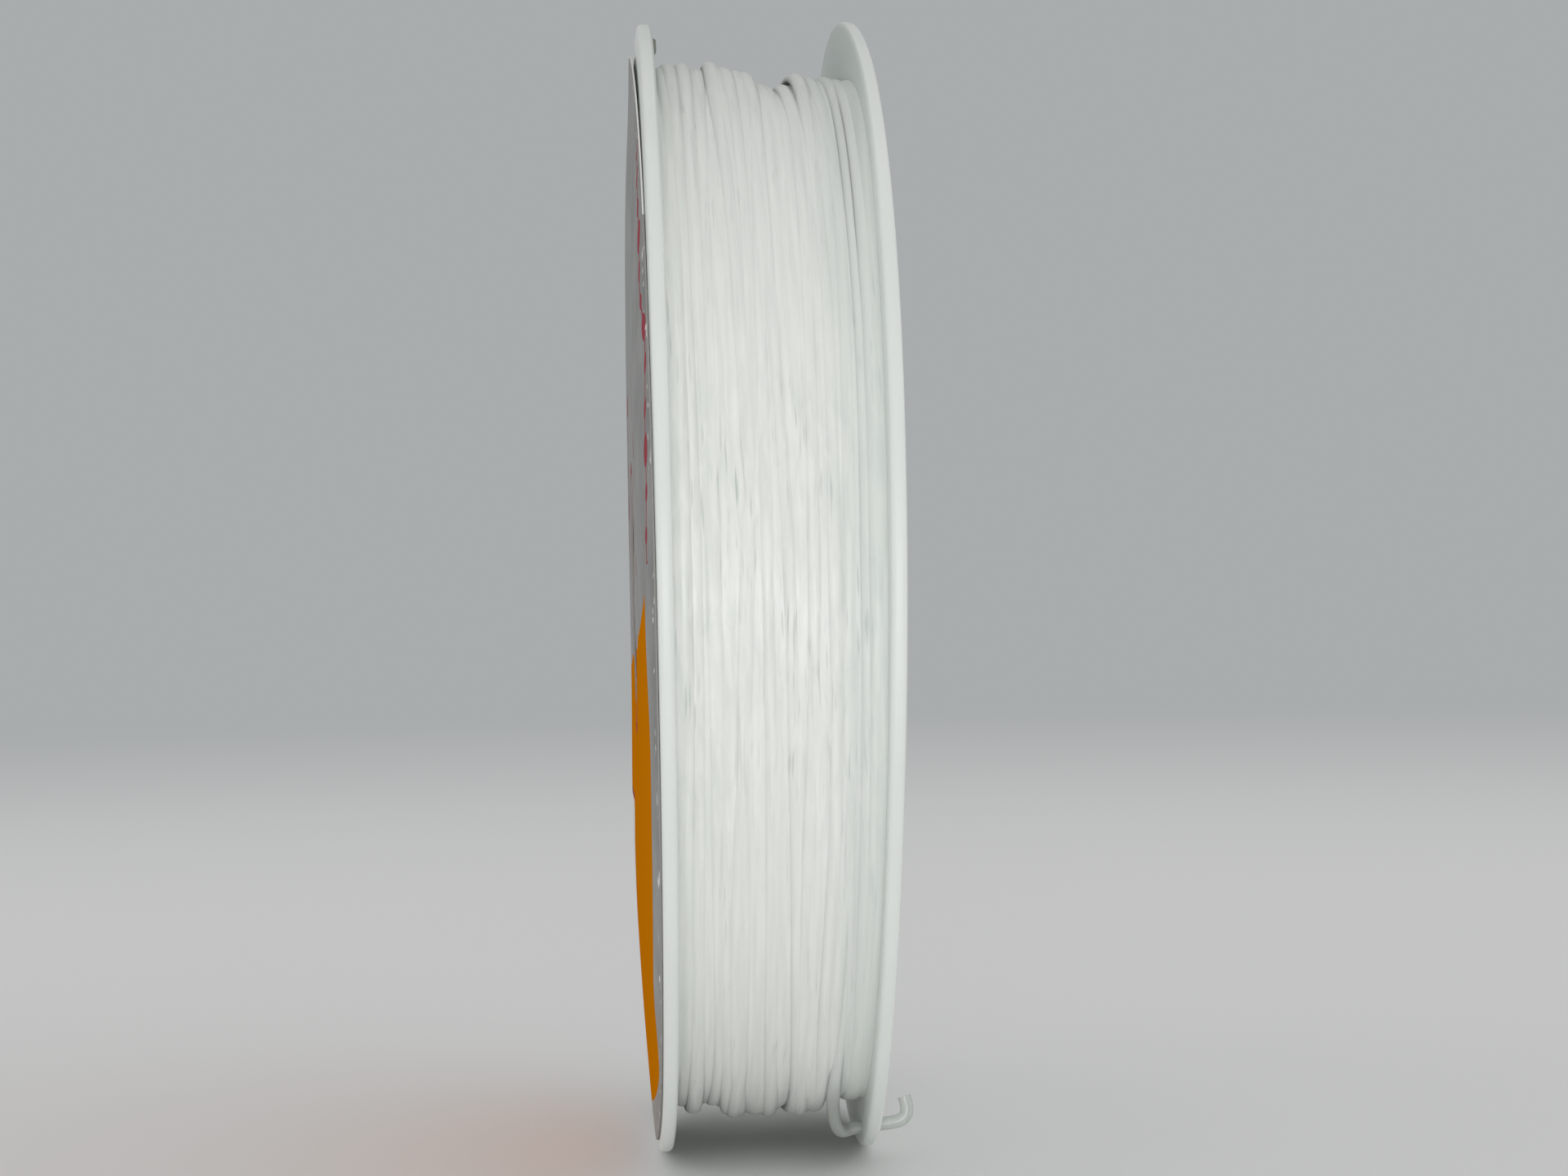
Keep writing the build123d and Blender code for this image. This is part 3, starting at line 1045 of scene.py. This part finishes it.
def makeLabelMaterial():
    # printed metal foil: bare, finely creased silver gives soft broken reflections, and the inks on it
    # look flat: a wide orange foot, red strings of beads and a pale panel
    material, tree = newMaterial("printed silver foil")
    place = addNode(tree, "ShaderNodeTexCoord").outputs["Object"]
    inMm = addNode(tree, "ShaderNodeVectorMath", {"operation": "SCALE", 0: place, "Scale": 1 / mm})
    split = addNode(tree, "ShaderNodeSeparateXYZ", {"Vector": inMm})
    front = addNode(tree, "ShaderNodeMath", {"operation": "MULTIPLY", 0: split.outputs["Y"], 1: -1})
    up = split.outputs["Z"]
    turn = addNode(tree, "ShaderNodeMath", {"operation": "ARCTAN2", 0: up, 1: front})
    radius = addLength(tree, front, up)
    shiftY, shiftZ = labelSpec["shift"]
    beside = addNode(tree, "ShaderNodeMath", {"operation": "ADD", 0: front, 1: shiftY})
    above = addNode(tree, "ShaderNodeMath", {"operation": "SUBTRACT", 0: up, 1: shiftZ})
    fromMiddle = addLength(tree, beside, above)

    orange = addOrangeFoot(tree, front, up, fromMiddle)
    frame = addRoundedPanel(tree, front, up, printSpec["frameWidth"])
    panel = addRoundedPanel(tree, front, up, 0)
    collarRadius, halfWidth = printSpec["collar"]
    collar = addNode(tree, "ShaderNodeMath", {
        "operation": "COMPARE", 0: fromMiddle, 1: collarRadius, 2: halfWidth,
    })
    beads = addBeads(tree, turn, radius)

    # the cut edge shows the white under the foil where it has come away, and below that it is painted dark
    # grey as shade
    outerEdge = addNode(tree, "ShaderNodeMath", {
        "operation": "GREATER_THAN", 0: fromMiddle, 1: labelSpec["radius"] - printSpec["edgeWidth"],
    })
    holeEdge = addNode(tree, "ShaderNodeMath", {
        "operation": "LESS_THAN", 0: fromMiddle, 1: labelSpec["holeRadius"] + printSpec["edgeWidth"],
    })
    cutEdge = addNode(tree, "ShaderNodeMath", {"operation": "MAXIMUM", 0: outerEdge, 1: holeEdge})
    high = addNode(tree, "ShaderNodeMath", {
        "operation": "GREATER_THAN", 0: up, 1: printSpec["whiteFrom"],
    })
    whiteEdge = addNode(tree, "ShaderNodeMath", {"operation": "MULTIPLY", 0: cutEdge, 1: high})

    # painted glints: small pale specks, about 0.7 mm across, near the edge at the front
    paintedGlints = addNode(tree, "ShaderNodeTexNoise", {"Vector": place, "Scale": 1400.0, "Detail": 1.0})
    paintedGlints = addNode(tree, "ShaderNodeMath", {"operation": "GREATER_THAN", 0: paintedGlints, 1: 0.67})
    for value, least in ((fromMiddle, 32.5), (front, 5)):
        part = addNode(tree, "ShaderNodeMath", {"operation": "GREATER_THAN", 0: value, 1: least})
        paintedGlints = addNode(tree, "ShaderNodeMath", {"operation": "MULTIPLY", 0: paintedGlints, 1: part})

    # creases about 4 mm apart, and a little painted shade towards the edge
    creases = addNode(tree, "ShaderNodeTexNoise", {"Vector": place, "Scale": 260.0, "Detail": 4.0})
    dark, pale = printSpec["silver"]
    silver = addNode(tree, "ShaderNodeMix", {
        "data_type": "RGBA", "Factor_Float": creases, "A_Color": toLinear(dark), "B_Color": toLinear(pale),
    })
    edgeShade = addNode(tree, "ShaderNodeMapRange", {
        "interpolation_type": "SMOOTHSTEP", "Value": fromMiddle,
        "From Min": 31, "From Max": 33.4, "To Min": 0, "To Max": 0.12,
    })
    colour = addNode(tree, "ShaderNodeMix", {
        "data_type": "RGBA", "Factor_Float": edgeShade,
        "A_Color": silver.outputs[2], "B_Color": toLinear(printSpec["edgeShade"]),
    }).outputs[2]
    printed = 0.0
    for mask, ink in (
        (orange, "orange"), (frame, "red"), (panel, "panel"), (collar, "red"), (beads, "red"),
        (paintedGlints, "paintedGlint"), (cutEdge, "shadedEdge"), (whiteEdge, "whiteEdge"),
    ):
        colour = addNode(tree, "ShaderNodeMix", {
            "data_type": "RGBA", "Factor_Float": mask,
            "A_Color": colour, "B_Color": toLinear(printSpec[ink]),
        }).outputs[2]
        printed = addNode(tree, "ShaderNodeMath", {"operation": "MAXIMUM", 0: printed, 1: mask})
    bare = addNode(tree, "ShaderNodeMath", {"operation": "SUBTRACT", 0: 1.0, 1: printed})
    roughness = addNode(tree, "ShaderNodeMath", {
        "operation": "MULTIPLY_ADD", 0: creases, 1: 0.2, 2: 0.36,
    })
    wrinkles = addNode(tree, "ShaderNodeBump", {
        "Strength": 0.5, "Distance": 0.06 * mm, "Height": creases,
    })
    shader = addNode(tree, "ShaderNodeBsdfPrincipled", {
        "Base Color": colour, "Metallic": bare, "Roughness": roughness, "IOR": 1.5,
        "Specular IOR Level": 0.0, "Specular Tint": toLinear("#D2D2D0"), "Normal": wrinkles,
    })
    addNode(tree, "ShaderNodeOutputMaterial", {"Surface": shader})
    return material


def makeLabel():
    spec = labelSpec
    flat = flangeSpec["crownFlat"]
    radii = [spec["holeRadius"], 10, 12.5, 15, 17.5]
    radii += [flat + (spec["radius"] - flat) * step / 10 for step in range(11)]
    outside = [labelPlace(radius, spec["glueGap"] + spec["thickness"]) for radius in radii]
    inside = [labelPlace(radius, spec["glueGap"]) for radius in reversed(radii)]
    label = spinOutline("foilLabel", outside + inside + outside[:1], 160)
    # moved down over the crown, with its edge a little off the flange at the top, where the glue let go
    liftMiddle, liftSpread = spec["liftTurn"]
    for vertex in label.data.vertices:
        x, y, z = vertex.co / mm
        radius = math.hypot(y, z)
        turn = math.degrees(math.atan2(-y, z))  # from the top towards the front
        isOutside = -x - flangeSpec["rimPlane"] > crownAt(radius, spec["glueGap"] + spec["thickness"] / 2)
        height = spec["glueGap"] + (spec["thickness"] if isOutside else 0)
        outwards = max(0, (radius - spec["liftFrom"]) / (spec["radius"] - spec["liftFrom"]))
        near = math.exp(-((turn - liftMiddle) / liftSpread) ** 2) * outwards**2
        y, z = y + spec["shift"][0], z + spec["shift"][1]
        x = labelPlace(math.hypot(y, z), height + spec["lift"] * near)[0] / mm + flangeShift(-1, y, z)
        vertex.co = (x * mm, y * mm, z * mm)
    finishPiece(label, makeLabelMaterial())
    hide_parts("front_label")


makeLabel()
print("label made")


# light and floor

studioSpec = {
    "backdrop": "#A9ACAD",
    "floorColour": "#F4F4F4",
    "floorRadius": 3,  # metres, as all here
    "fadeFrom": 0.14,  # the lit floor passes into the plain backdrop between these two
    "fadeTo": 0.5,
    "keyPlace": (-0.02, -0.5, -0.01),
    "keySize": (0.2, 0.05),
    "keyPower": 0.70,
    "sidePlace": (0.5, 0, 0.12),  # and the same on the other side
    "sideSize": (0.4, 0.4),
    "sidePower": 0.2,
    "worldStrength": 0.575,
}


def addLamp(name, place, size, power):
    # a soft lamp that points at the spool
    data = bpy.data.lights.new(name, "AREA")
    data.shape = "RECTANGLE"
    data.size, data.size_y = size
    data.energy = power
    lamp = bpy.data.objects.new(name, data)
    bpy.context.scene.collection.objects.link(lamp)
    lamp.location = place
    lamp.rotation_euler = (-Vector(place)).to_track_quat("-Z", "Y").to_euler()


def addSeenRays(tree):
    # 1 for rays that see the backdrop: from the camera, in a reflection or through clear plastic
    path = addNode(tree, "ShaderNodeLightPath")
    seen = path.outputs["Is Camera Ray"]
    for kind in ("Is Glossy Ray", "Is Transmission Ray"):
        seen = addNode(tree, "ShaderNodeMath", {"operation": "MAXIMUM", 0: seen, 1: path.outputs[kind]})
    return seen


def makeWorld():
    world = bpy.data.worlds.new("studioWorld")
    world.use_nodes = True
    tree = world.node_tree
    tree.nodes.clear()
    light = addNode(tree, "ShaderNodeBackground", {
        "Color": (1, 1, 1, 1), "Strength": studioSpec["worldStrength"],
    })
    backdrop = addNode(tree, "ShaderNodeBackground", {"Color": toLinear(studioSpec["backdrop"])})
    mixed = addNode(tree, "ShaderNodeMixShader", {0: addSeenRays(tree), 1: light, 2: backdrop})
    addNode(tree, "ShaderNodeOutputWorld", {"Surface": mixed})
    bpy.context.scene.world = world


def makeFloorMaterial():
    # matt card, which shows only soft shadows and passes into the plain backdrop further out
    material, tree = newMaterial("pale card")
    card = addNode(tree, "ShaderNodeBsdfPrincipled", {
        "Base Color": toLinear(studioSpec["floorColour"]), "Roughness": 0.9,
    })
    backdrop = addNode(tree, "ShaderNodeEmission", {"Color": toLinear(studioSpec["backdrop"])})
    place = addNode(tree, "ShaderNodeTexCoord").outputs["Object"]
    distance = addNode(tree, "ShaderNodeVectorMath", {"operation": "LENGTH", 0: place})
    fade = addNode(tree, "ShaderNodeMapRange", {
        "interpolation_type": "SMOOTHSTEP", "Value": distance.outputs["Value"],
        "From Min": studioSpec["fadeFrom"], "From Max": studioSpec["fadeTo"],
    })
    factor = addNode(tree, "ShaderNodeMath", {"operation": "MULTIPLY", 0: fade, 1: addSeenRays(tree)})
    mixed = addNode(tree, "ShaderNodeMixShader", {0: factor, 1: card, 2: backdrop})
    addNode(tree, "ShaderNodeOutputMaterial", {"Surface": mixed})
    return material


def makeFloor():
    bpy.ops.mesh.primitive_circle_add(
        vertices=96, radius=studioSpec["floorRadius"], fill_type="NGON", location=(0, 0, cadBounds[0][2]),
    )
    floor = bpy.context.object
    floor.name = "cardFloor"
    floor.data.materials.append(makeFloorMaterial())
    bpy.ops.object.select_all(action="DESELECT")


def makeStudio():
    spec = studioSpec
    addLamp("keyLamp", spec["keyPlace"], spec["keySize"], spec["keyPower"])
    x, y, z = spec["sidePlace"]
    for side in (-1, 1):
        addLamp("sideLamp", (x * side, y, z), spec["sideSize"], spec["sidePower"])
    makeWorld()
    makeFloor()


makeStudio()
bpy.context.scene.view_settings.view_transform = "Standard"
print("studio made")
